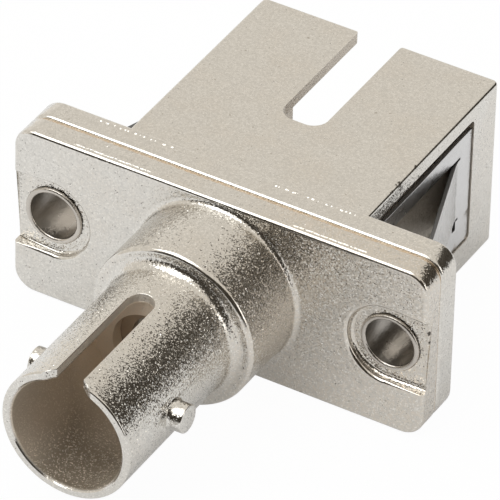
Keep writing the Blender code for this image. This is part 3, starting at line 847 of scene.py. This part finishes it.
class ADAPTER_OT_front_casting(bpy.types.Operator):
    """Front casting: flange half, boss, bayonet barrel with its lugs and keyway"""

    bl_idname = "adapter.front_casting"
    bl_label = "Front Casting"

    # Trim marks on top: start and end along X, place along Y and half width.
    trims = ((-0.008, -0.0036, -0.000625, 0.00004), (0.0036, 0.0078, -0.000625, 0.00005))
    # Knocked spots on the right recess's foot, painted as dark shade: height and radius.
    knocks = ((0.00125, 0.0002), (0.0007, 0.00014))

    def execute(self, context):
        scene = context.scene
        flange, barrel, finish = scene.adapter_flange, scene.adapter_barrel, scene.adapter_finish
        front = flange.front
        seam = front + (flange.thickness - flange.seam) / 2
        casting = flange_half("front_casting", flange, front, seam)
        soften(casting, flange.edge, 4)
        for side in (-1, 1):
            combine(casting, self.recess(flange, side), "DIFFERENCE")
        self.round_recess(casting, flange)
        combine(casting, self.outside(flange, barrel), "UNION")
        for side in (-1, 1):
            combine(casting, self.lug(flange, barrel, side), "UNION")
        combine(casting, self.inside(flange, barrel, seam), "DIFFERENCE")
        combine(casting, self.keyway(flange, barrel), "DIFFERENCE")
        combine(casting, self.lead_in(flange, barrel), "DIFFERENCE")
        drill(casting, flange, flange.hole, front, seam + overrun)
        self.round_keyway(casting, flange, barrel)
        mark_faces(casting, "worn", lambda face: self.rubbed(flange, barrel, face))
        mark_faces(casting, "deep", lambda face: self.in_keyway(flange, barrel, face))
        smooth_finish(casting)
        end, foot = flange.width / 2, front + flange.recess_depth
        chips = [((end, foot, height), radius) for height, radius in self.knocks]
        top = flange.height * top_share
        material = satin_nickel("satin nickel, front", finish, top, self.trims, chips, bore=True)
        finish_piece(casting, material, "nickel_front", "st_housing")
        return {"FINISHED"}

    def in_keyway(self, flange, barrel, face):
        """True on the walls of the keyway."""
        spot = face.calc_center_median()
        if spot.z < 0 or abs(spot.x) > barrel.keyway / 2 + on_surface:
            return False
        on_wall = barrel.bore < from_axis(spot) < barrel.radius - barrel.keyway_edge
        return on_wall and spot.y > flange.front - flange.reach

    def rubbed(self, flange, barrel, face):
        """How far a face is rubbed smooth. The keyway's walls stay as cast."""
        return 0 if self.in_keyway(flange, barrel, face) else wear(flange, face)

    def recess(self, flange, side):
        """Open recess round one fixing hole, with a round inner end."""
        cutter = side_block(
            "recess",
            side,
            (flange.pitch / 2 - flange.recess, flange.width / 2 + overrun),
            (flange.front - overrun, flange.front + flange.recess_depth),
            (-flange.recess, flange.recess),
        )
        round_edges(
            cutter,
            flange.recess * round_end_share,
            24,
            lambda edge: runs(edge, 1) and middle(edge).x * side < flange.pitch / 2,
        )
        return cutter

    def round_recess(self, casting, flange):
        """Small rounding along the rims and feet of the recesses."""
        front, foot = flange.front, flange.front + flange.recess_depth

        def on_rim(edge):
            if not bends(edge, 40):
                return False
            spots = [vertex.co for vertex in edge.verts]
            level = all(min(abs(spot.y - front), abs(spot.y - foot)) < 2 * near for spot in spots)
            return level and all(abs(spot.z) < flange.recess + 2 * near for spot in spots)

        round_edges(casting, flange.recess_edge, 4, on_rim)

    def outside(self, flange, barrel):
        """Boss and barrel as one turned body."""
        profile = [(0, flange.reach)]
        profile += rounding(barrel.radius, flange.reach, barrel.edge, 5)
        profile += fillet(barrel.radius, barrel.boss_reach, barrel.fillet, 10)
        profile += rounding(barrel.boss, barrel.boss_reach, barrel.boss_edge, 8)
        profile += fillet(barrel.boss, 0, barrel.boss_fillet, 8)
        profile += [(barrel.boss + barrel.boss_fillet, -embed), (0, -embed)]
        return turned("boss and barrel", profile, barrel_steps, (0, flange.front, 0), (0, -1, 0))

    def lug(self, flange, barrel, side):
        """Bayonet lug with a rounded end and a small fillet at its foot."""
        skirt = barrel.lug + barrel.lug_fillet
        foot = math.sqrt(barrel.radius**2 - skirt**2)
        profile = [(0, barrel.lug_reach)]
        profile += rounding(barrel.lug, barrel.lug_reach, barrel.lug_edge, 5)
        profile += fillet(barrel.lug, foot, barrel.lug_fillet, 6)
        profile += [(skirt, foot - embed), (0, foot - embed)]
        centre = (0, flange.front - barrel.lug_place, 0)
        return turned("lug", profile[::-1], lug_steps, centre, (side, 0, 0), (0, 0, 1))

    def inside(self, flange, barrel, seam):
        """Stepped bore as one turned cutter."""
        reach = flange.reach
        behind = flange.front - seam
        seat = behind + barrel.holder_seat
        profile = [
            (0, reach + overrun),
            (barrel.bore + barrel.chamfer + overrun, reach + overrun),
            (barrel.bore, reach - barrel.chamfer),
            (barrel.bore, barrel.shoulder),
            (barrel.lip_hole, barrel.shoulder),
            (barrel.lip_hole, barrel.shoulder - barrel.lip),
            (barrel.holder, barrel.shoulder - barrel.lip),
            (barrel.holder, seat),
            (barrel.holder_flange, seat),
            (barrel.holder_flange, behind - overrun),
            (0, behind - overrun),
        ]
        return turned("stepped bore", profile, barrel_steps, (0, flange.front, 0), (0, -1, 0))

    def floor_of_keyway(self, barrel):
        """Height at which the keyway's cutters end, inside the bore."""
        return barrel.bore * math.sqrt(1 - (barrel.keyway / barrel.bore) ** 2) - embed

    def keyway(self, flange, barrel):
        """Slot along the top of the barrel with a round end."""
        half = barrel.keyway / 2
        cutter = block(
            "keyway",
            (-half, flange.front - flange.reach - overrun, self.floor_of_keyway(barrel)),
            (half, flange.front - barrel.keyway_end, barrel.radius + overrun),
        )
        far = flange.front - barrel.keyway_end - half
        round_edges(
            cutter, half * round_end_share, 16, lambda edge: runs(edge, 2) and middle(edge).y > far
        )
        return cutter

    def lead_in(self, flange, barrel):
        """Splayed mouth of the keyway."""
        start = flange.front - flange.reach
        inner = barrel.keyway / 2
        outer = inner + barrel.lead_width
        slope = barrel.lead_width / barrel.lead_depth
        outline = [
            (-inner, start + barrel.lead_depth),
            (-outer - overrun * slope, start - overrun),
            (outer + overrun * slope, start - overrun),
            (inner, start + barrel.lead_depth),
        ]
        low = self.floor_of_keyway(barrel) - embed
        return plate_from_outline("lead-in", outline, low, barrel.radius + overrun)

    def round_keyway(self, casting, flange, barrel):
        """Small rounding along the keyway's outer rim."""
        half = barrel.keyway / 2
        mouth = flange.front - flange.reach

        def on_rim(edge):
            place = middle(edge)
            if place.z < 0 or place.y > flange.front - barrel.keyway_end + embed or not bends(edge, 40):
                return False
            away = [abs(from_axis(vertex.co) - barrel.radius) for vertex in edge.verts]
            on_barrel = max(away) < on_surface
            on_side = abs(place.x) < half + barrel.lead_width + on_surface
            return on_barrel and on_side and place.y > mouth + barrel.edge + on_surface

        round_edges(casting, barrel.keyway_edge, 3, on_rim)


class ADAPTER_OT_rear_casting(bpy.types.Operator):
    """Rear casting: flange half and rectangular socket with key slot and clip pockets"""

    bl_idname = "adapter.rear_casting"
    bl_label = "Rear Casting"

    # Trim marks on top: start and end along X, place along Y and half width.
    trims = ((-0.008, -0.0036, 0.001525, 0.00006), (0.0013, 0.006, 0.001525, 0.00006))
    # Knocked spots on the upper right edge, painted as dark shade: place along Y, depth under the edge and
    # radius.
    knocks = (
        (0.00470, 0.00005, 0.0003),
        (0.00478, 0.0003, 0.0002),
        (0.00627, 0, 0.0002),
        (0.00400, 0, 0.00016),
    )

    def execute(self, context):
        scene = context.scene
        flange, socket, finish = scene.adapter_flange, scene.adapter_socket, scene.adapter_finish
        seam = flange.front + (flange.thickness + flange.seam) / 2
        rear = flange.front + flange.thickness
        end = flange.front + socket.reach
        casting = flange_half("rear_casting", flange, seam, rear)
        soften(casting, flange.edge, 4)
        body = centred_block("socket", socket.width, socket.height, rear - flange.edge - embed, end)
        round_edges(body, socket.corner, 6, lambda edge: runs(edge, 2) and middle(edge).y > rear)
        soften(body, socket.edge, 5)
        combine(casting, body, "UNION")
        combine(casting, self.cavity(socket, seam, end), "DIFFERENCE")
        seat_end = seam + socket.insert_depth
        seat = centred_block(
            "insert seat", socket.insert_width, socket.insert_height, seam - overrun, seat_end
        )
        combine(casting, seat, "DIFFERENCE")
        groove_top = socket.cavity_height / 2 + socket.groove_depth
        groove = block(
            "key groove",
            (-socket.groove / 2, flange.front + socket.groove_start, socket.cavity_height / 2 - embed),
            (socket.groove / 2, end + overrun, groove_top),
        )
        combine(casting, groove, "DIFFERENCE")
        combine(casting, self.key_slot(flange, socket, end, groove_top), "DIFFERENCE")
        for side in (-1, 1):
            combine(casting, self.clip_pocket(flange, socket, side), "DIFFERENCE")
        drill(casting, flange, flange.hole, seam - overrun, rear + overrun)
        drill(casting, flange, flange.seat, rear - flange.seat_depth, rear + overrun)
        mark_faces(casting, "worn", lambda face: wear(flange, face))
        mark_faces(casting, "deep", lambda face: self.is_deep(socket, flange, face))
        smooth_finish(casting)
        right, edge = socket.width / 2, socket.height / 2
        chips = [((right, along, edge - under), radius) for along, under, radius in self.knocks]
        top = flange.height * top_share
        material = satin_nickel("satin nickel, rear", finish, top, self.trims, chips, calm=0.65)
        finish_piece(casting, material, "nickel_rear", "sc_housing")
        return {"FINISHED"}

    def is_deep(self, socket, flange, face):
        """True in the clip pockets, the cavity and the key slot."""
        margin = 0.0001
        spot = face.calc_center_median()
        if spot.y < flange.front + flange.thickness + margin:
            return False
        if face.normal.y > 0.9 and spot.y > flange.front + socket.reach - socket.lead_in / 2:
            return False
        aside, above = abs(spot.x), abs(spot.z)
        at_pocket = socket.pocket_bottom - on_surface < spot.z < socket.pocket_top + on_surface
        in_pocket = at_pocket and aside < socket.width / 2 - margin
        in_slot = aside < socket.slot / 2 + on_surface and abs(face.normal.z) < 0.5
        high = socket.cavity_height / 2 + socket.groove_depth + on_surface
        return in_pocket or in_slot or (aside < socket.cavity_width / 2 + on_surface and above < high)

    def clip_pocket(self, flange, socket, side):
        """Shallow pocket for a panel clip."""
        cutter = side_block(
            "clip pocket",
            side,
            (socket.width / 2 - socket.pocket_depth, socket.width / 2 + overrun),
            (flange.front + socket.pocket_front, flange.front + socket.pocket_rear),
            (socket.pocket_bottom, socket.pocket_top),
        )
        round_edges(cutter, socket.pocket_corner, 6, lambda edge: runs(edge, 0))
        return cutter

    def cavity(self, socket, seam, end):
        """Inside of the socket with its flared mouth."""
        cutter = centred_block(
            "cavity", socket.cavity_width, socket.cavity_height, seam - overrun, end - socket.lead_in
        )
        grow = socket.lead_in + overrun
        shape = open_mesh(cutter, "FACE")
        pick(cutter, shape, shape.faces, lambda face: face.normal.y > 0.9)
        bpy.ops.mesh.extrude_region_move(TRANSFORM_OT_translate={"value": (0, grow, 0)})
        bpy.ops.transform.resize(
            value=(1 + 2 * grow / socket.cavity_width, 1, 1 + 2 * grow / socket.cavity_height),
            center_override=(0, end + overrun, 0),
        )
        close_mesh()
        return cutter

    def key_slot(self, flange, socket, end, low):
        """Open slot through the top wall."""
        half = socket.slot / 2
        wide = half + socket.slot_mouth
        start = flange.front + socket.slot_end
        mouth = end - socket.slot_mouth
        inset = half - socket.slot_corner
        outline = arc(inset, start + socket.slot_corner, socket.slot_corner, 270, 360, 12)
        outline += arc(wide, mouth, socket.slot_mouth, 180, 90, 6)
        outline += [(wide, end + overrun), (-wide, end + overrun)]
        outline += arc(-wide, mouth, socket.slot_mouth, 90, 0, 6)
        outline += arc(-inset, start + socket.slot_corner, socket.slot_corner, 180, 270, 12)
        return plate_from_outline("key slot", outline, low - embed, socket.height / 2 + overrun)


class ADAPTER_OT_eyelets(bpy.types.Operator):
    """Two tubular eyelets with rolled rims"""

    bl_idname = "adapter.eyelets"
    bl_label = "Eyelets"

    def execute(self, context):
        scene = context.scene
        flange, eyelet, finish = scene.adapter_flange, scene.adapter_eyelet, scene.adapter_finish
        front = -flange.recess_depth + eyelet.gap
        rear = -flange.thickness + flange.seat_depth - eyelet.gap
        profile = self.rolled_rim(eyelet, front, 1)
        profile += [(eyelet.radius, front), (eyelet.radius, rear)]
        profile += reversed(self.rolled_rim(eyelet, rear, -1))
        for label, side in (("left", -1), ("right", 1)):
            centre = (side * flange.pitch / 2, flange.front, 0)
            piece = turned("eyelet_rivet_" + label, profile, hole_steps, centre, (0, -1, 0), closed=True)
            mark_faces(piece, "shade_and_dullness", lambda face: self.tube_shade(eyelet, centre, face))
            smooth_finish(piece, 50)
            name = "eyelet nickel, " + label
            material = polished(name, finish.eyelet, roughness=0.19, tilt=0.12, size=0.00005)
            finish_piece(piece, material, "eyelet_" + label + "_metal", "eyelet_" + label)
        return {"FINISHED"}

    def rolled_rim(self, eyelet, base, forward):
        """Profile of a half-round rim, from the tube's inside outwards."""
        half = eyelet.rim / 2
        crest = eyelet.radius - eyelet.wall + half
        points = []
        for step in range(rim_steps + 1):
            angle = math.pi * step / rim_steps
            points.append((crest - math.cos(angle) * half, base + forward * math.sin(angle) * eyelet.rise))
        return points

    def tube_shade(self, eyelet, centre, face):
        """Share of painted shade and dullness: none on the rims, some inside the tube and most at its top.
        """
        spot = face.calc_center_median() - Vector(centre)
        if from_axis(spot) > eyelet.radius - eyelet.wall + on_surface:
            return 0
        mean, spread = 0.55, 0.4
        return mean + spread * spot.z / eyelet.radius


class ADAPTER_OT_panel_clips(bpy.types.Operator):
    """Sheet-metal panel clip with its lanced tongue, in both sides of the socket"""

    bl_idname = "adapter.panel_clips"
    bl_label = "Panel Clips"

    def execute(self, context):
        clip, finish = context.scene.adapter_clip, context.scene.adapter_finish
        for label, side in (("right", 1), ("left", -1)):
            piece = self.sheet(clip, side)
            piece.name = "spring_clip_" + label
            mark_faces(piece, "shade_and_dullness", self.is_sheared)
            smooth_finish(piece, 25)
            name = "clip steel, " + label
            material = polished(name, finish.steel, roughness=0.24, tilt=0.05, size=0.00012)
            finish_piece(piece, material, "clip_" + label + "_steel", "panel_clip_" + label)
        return {"FINISHED"}

    def blank(self, clip, side):
        """Upright rectangle of sheet with no thickness yet."""
        place = (side * clip.face, (clip.rear + clip.front) / 2, (clip.top + clip.bottom) / 2)
        upright = Matrix(((0, 0, 1), (1, 0, 0), (0, 1, 0)))
        return rectangle("clip", place, upright, clip.rear - clip.front, clip.top - clip.bottom)

    def sheet(self, clip, side):
        """Flat sheet, bisected along its slits, with the tongue bent out."""
        obj = self.blank(clip, side)
        tip = clip.root - clip.tongue
        window = tip - clip.window
        folds = [clip.root - clip.bend * step / 3 for step in (3, 2, 1, 0)]
        fold_shares = (1 / 6, 1 / 3, 1 / 3, 1 / 6)
        step_end = clip.step_place + clip.step_slope
        low, high = clip.tongue_bottom - clip.slit, clip.tongue_top + clip.slit
        notch_end_share = 0.4
        notch = (clip.root - clip.relief, clip.root - clip.relief * notch_end_share)
        cuts = [((0, y, 0), (0, 1, 0)) for y in [window, tip, clip.step_place, step_end, *notch] + folds]
        levels = (low - clip.relief, low, clip.tongue_bottom, clip.tongue_top, high)
        cuts += [((0, 0, z), (0, 0, 1)) for z in levels]
        open_mesh(obj, "FACE")
        for point, normal in cuts:
            bpy.ops.mesh.select_all(action="SELECT")
            bpy.ops.mesh.bisect(plane_co=point, plane_no=normal)
        bpy.ops.mesh.select_all(action="DESELECT")
        shape = bmesh.from_edit_mesh(obj.data)

        def in_slit(face):
            spot = middle(face)
            if notch[0] < spot.y < notch[1] and low - clip.relief < spot.z < low:
                return True
            in_window = window < spot.y < clip.root and low < spot.z < high
            return in_window and not (spot.y > tip and clip.tongue_bottom < spot.z < clip.tongue_top)

        pick(obj, shape, shape.faces, in_slit)
        bpy.ops.mesh.delete(type="FACE")
        bpy.ops.mesh.select_mode(type="VERT")
        bpy.ops.mesh.select_all(action="DESELECT")
        shape = bmesh.from_edit_mesh(obj.data)

        def before_step(vertex):
            return vertex.co.z > clip.top - near and vertex.co.y < clip.step_place + near

        pick(obj, shape, shape.verts, before_step)
        bpy.ops.transform.translate(value=(0, 0, -clip.step))
        for line, fold_share in zip(folds, fold_shares):
            self.bend_tongue(obj, clip, side, line, clip.flare * fold_share)
        close_mesh()
        self.thicken(obj, clip, side)
        soften(obj, clip.edge, 2, 50)
        return obj

    def thicken(self, obj, clip, side):
        """Give the sheet its thickness, on the side towards the fibre axis."""
        faces_out = sum(face.normal.x * face.area for face in obj.data.polygons) * side > 0
        offset = -1 if faces_out else 1
        modify(obj, "SOLIDIFY", thickness=clip.sheet, offset=offset, use_even_offset=True)

    def is_sheared(self, face):
        """True on the sheet's sheared edges, which are rougher and carry painted shade."""
        return abs(face.normal.x) < 0.8

    def bend_tongue(self, obj, clip, side, line, angle):
        """Turn the part of the tongue beyond a line outwards about that line."""
        tip = clip.root - clip.tongue

        def beyond(vertex):
            spot = vertex.co
            in_height = clip.tongue_bottom - near < spot.z < clip.tongue_top + near
            return in_height and tip - near < spot.y < line - near

        bpy.ops.mesh.select_all(action="DESELECT")
        shape = bmesh.from_edit_mesh(obj.data)
        if not pick(obj, shape, shape.verts, beyond):
            raise RuntimeError("the clip's tongue wasn't found")
        bpy.ops.transform.rotate(
            value=-side * angle,
            orient_axis="Z",
            orient_type="GLOBAL",
            center_override=(side * clip.face, line, 0),
        )


class ADAPTER_OT_inner_parts(bpy.types.Operator):
    """Latch insert, sleeve holder and split sleeve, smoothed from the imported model"""

    bl_idname = "adapter.inner_parts"
    bl_label = "Inner Parts"

    def execute(self, context):
        finish = context.scene.adapter_finish
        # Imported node, name, slot, colour, roughness and metallic share.
        rows = (
            ("sc_latch_insert", "latch_insert", "insert_plastic", finish.plastic, 0.42, 0.0),
            ("sleeve_holder", "holder_turned", "holder_metal", finish.holder, 0.35, 0.5),
            ("split_sleeve", "sleeve_split", "sleeve_ceramic", finish.ceramic, 0.2, 0.0),
        )
        for node, name, slot, tone, roughness, metallic in rows:
            activate(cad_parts[node])
            bpy.ops.object.duplicate()
            piece = bpy.context.object
            piece.name = name
            for key in [key for key in piece.keys() if key.startswith("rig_")]:
                del piece[key]
            piece.parent = None
            open_mesh(piece, "VERT")
            bpy.ops.mesh.select_all(action="SELECT")
            bpy.ops.mesh.remove_doubles(threshold=near)
            bpy.ops.mesh.tris_convert_to_quads(face_threshold=0.01, shape_threshold=0.8)
            close_mesh()
            smooth_finish(piece, 35)
            label = name.replace("_", " ")
            material = polished(label, tone, roughness, tilt=0.1, size=0.0001, metallic=metallic)
            finish_piece(piece, material, slot, node)
        return {"FINISHED"}


# Stage

# Lamps: name, azimuth, elevation, distance, width, height, radiance and colour.
lamps = (
    ("key lamp", 220, 61, 0.42, 0.34, 0.32, 1.9, (0.97, 0.99, 1.0)),
    ("side lamp", 86, 14, 0.42, 0.16, 0.18, 1.2, (1, 1, 1)),
    ("left lamp", 318, 12, 0.45, 0.36, 0.20, 0.10, (1, 1, 1)),
)

# Dark cards on the floor: name, azimuth, distance, width and height.
cards = (
    ("rear dark card", 41, 0.26, 0.37, 0.235),
    ("right dark card", 137, 0.10, 0.15, 0.105),
    ("front dark card", 192, 0.36, 0.36, 0.305),
)


def direction(azimuth, elevation):
    """Unit vector: azimuth 0 points along +Y and 90 along +X, in degrees."""
    a, e = math.radians(azimuth), math.radians(elevation)
    return Vector((math.sin(a) * math.cos(e), math.cos(a) * math.cos(e), math.sin(e)))


class ADAPTER_OT_stage(bpy.types.Operator):
    """White floor, soft lamps, dark cards and the camera"""

    bl_idname = "adapter.stage"
    bl_label = "Stage"

    def execute(self, context):
        stage = context.scene.adapter_stage
        self.floor(stage)
        self.surroundings(context.scene, stage)
        for row in lamps:
            self.lamp(*row)
        for row in cards:
            self.card(stage, *row)
        self.camera(context.scene, stage)
        context.scene.view_settings.view_transform = "Standard"
        return {"FINISHED"}

    def seen_rays(self, tree):
        """Mask of what the camera sees, also through glass, and the mask of reflections."""
        light = tree.nodes.new("ShaderNodeLightPath").outputs
        seen = maths(tree, "MAXIMUM", light["Is Camera Ray"], light["Is Transmission Ray"])
        return seen, light["Is Glossy Ray"]

    def floor(self, stage):
        """Floor that looks white, keeps the object's shadow and is dimmer in reflections."""
        gap, seen_glow, reflected_glow = 0.00002, 0.97, 0.22
        bpy.ops.object.select_all(action="DESELECT")
        bpy.ops.mesh.primitive_circle_add(
            vertices=96, radius=1.6, fill_type="NGON", location=(0, 0, stage.floor - gap)
        )
        floor = named("floor")
        material, tree, shader = new_material("white floor")
        shader.inputs["Base Color"].default_value = (0.9, 0.9, 0.9, 1)
        shader.inputs["Roughness"].default_value = 0.9
        seen, reflected = self.seen_rays(tree)
        seen = maths(tree, "MULTIPLY", seen, seen_glow)
        seen = maths(tree, "MAXIMUM", seen, maths(tree, "MULTIPLY", reflected, reflected_glow))
        glow = add_node(tree, "ShaderNodeEmission", {"Color": (1, 1, 1, 1), "Strength": 1.0})
        mix = add_node(tree, "ShaderNodeMixShader", {0: seen, 1: shader.outputs[0], 2: glow.outputs[0]})
        tree.links.new(mix.outputs[0], tree.nodes["Material Output"].inputs["Surface"])
        floor.data.materials.append(material)

    def surroundings(self, scene, stage):
        """White studio, a little warm on the object and warmer and dimmer in reflections."""
        world = bpy.data.worlds.new("studio")
        scene.world = world
        world.use_nodes = True
        tree = world.node_tree
        seen, reflected = self.seen_rays(tree)
        strength = maths(tree, "MULTIPLY_ADD", seen, 1.0 - stage.world, stage.world)
        background = tree.nodes["Background"]
        hue = blend_colour(tree, reflected, (1, 0.985, 0.96), (0.88, 0.832, 0.757))
        hue = blend_colour(tree, seen, hue, (1, 1, 1))
        tree.links.new(hue, background.inputs["Color"])
        tree.links.new(strength, background.inputs["Strength"])

    def lamp(self, name, azimuth, elevation, distance, width, height, radiance, hue):
        """Soft lamp that faces the object."""
        way = direction(azimuth, elevation)
        bpy.ops.object.select_all(action="DESELECT")
        bpy.ops.object.light_add(type="AREA", location=way * distance)
        lamp = bpy.context.object
        lamp.name = name
        lamp.rotation_euler = way.to_track_quat("Z", "Y").to_euler()
        lamp.data.shape = "RECTANGLE"
        lamp.data.size = width
        lamp.data.size_y = height
        lamp.data.energy = radiance * math.pi * width * height
        lamp.data.color = hue
        lamp.visible_camera = False

    def card(self, stage, name, azimuth, distance, width, height):
        """Upright dark card on the floor, square to the object."""
        way = direction(azimuth, 0)
        place = way * distance + Vector((0, 0, stage.floor + height / 2))
        card = rectangle(name, place, (-way).to_track_quat("Z", "Y").to_matrix(), width, height)
        material, tree, shader = new_material(name)
        shader.inputs["Base Color"].default_value = (*stage.card, 1)
        shader.inputs["Roughness"].default_value = 0.8
        card.data.materials.append(material)
        card.visible_camera = False

    def camera(self, scene, stage):
        """Camera that looks at the target from its azimuth and elevation, with a slight roll."""
        a, e, r = stage.azimuth, stage.elevation, stage.roll
        ahead = Vector((-math.sin(a) * math.cos(e), math.cos(a) * math.cos(e), -math.sin(e)))
        level = Vector((math.cos(a), math.sin(a), 0))
        upright = level.cross(ahead)
        right = level * math.cos(r) + upright * math.sin(r)
        up = upright * math.cos(r) - level * math.sin(r)
        place = Vector(stage.target) - ahead * stage.distance
        bpy.ops.object.select_all(action="DESELECT")
        bpy.ops.object.camera_add(location=place)
        camera = bpy.context.object
        camera.name = "photo camera"
        turn_to = Matrix((right, up, -ahead)).transposed()
        camera.matrix_world = Matrix.Translation(place) @ turn_to.to_4x4()
        camera.data.sensor_width = 36
        camera.data.lens = stage.lens
        camera.data.clip_start = 0.01
        camera.data.clip_end = 20
        scene.camera = camera


class ADAPTER_PT_panel(bpy.types.Panel):
    """Buttons that dress the adapter and set up its studio"""

    bl_idname = "ADAPTER_PT_panel"
    bl_label = "Fibre Adapter"
    bl_space_type = "VIEW_3D"
    bl_region_type = "UI"
    bl_category = "Adapter"

    def draw(self, context):
        for operator in operators:
            self.layout.operator(operator.bl_idname)


operators = (
    ADAPTER_OT_front_casting,
    ADAPTER_OT_rear_casting,
    ADAPTER_OT_eyelets,
    ADAPTER_OT_panel_clips,
    ADAPTER_OT_inner_parts,
    ADAPTER_OT_stage,
)


def register():
    for name, group in settings_classes:
        bpy.utils.register_class(group)
        setattr(bpy.types.Scene, name, PointerProperty(type=group))
    for operator in operators:
        bpy.utils.register_class(operator)
    bpy.utils.register_class(ADAPTER_PT_panel)


def unregister():
    bpy.utils.unregister_class(ADAPTER_PT_panel)
    for operator in reversed(operators):
        bpy.utils.unregister_class(operator)
    for name, group in reversed(settings_classes):
        delattr(bpy.types.Scene, name)
        bpy.utils.unregister_class(group)


def main():
    """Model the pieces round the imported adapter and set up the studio."""
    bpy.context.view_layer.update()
    register()
    bpy.ops.adapter.front_casting()
    bpy.ops.adapter.rear_casting()
    bpy.ops.adapter.eyelets()
    bpy.ops.adapter.panel_clips()
    bpy.ops.adapter.inner_parts()
    bpy.ops.adapter.stage()


if __name__ == "__main__":
    main()
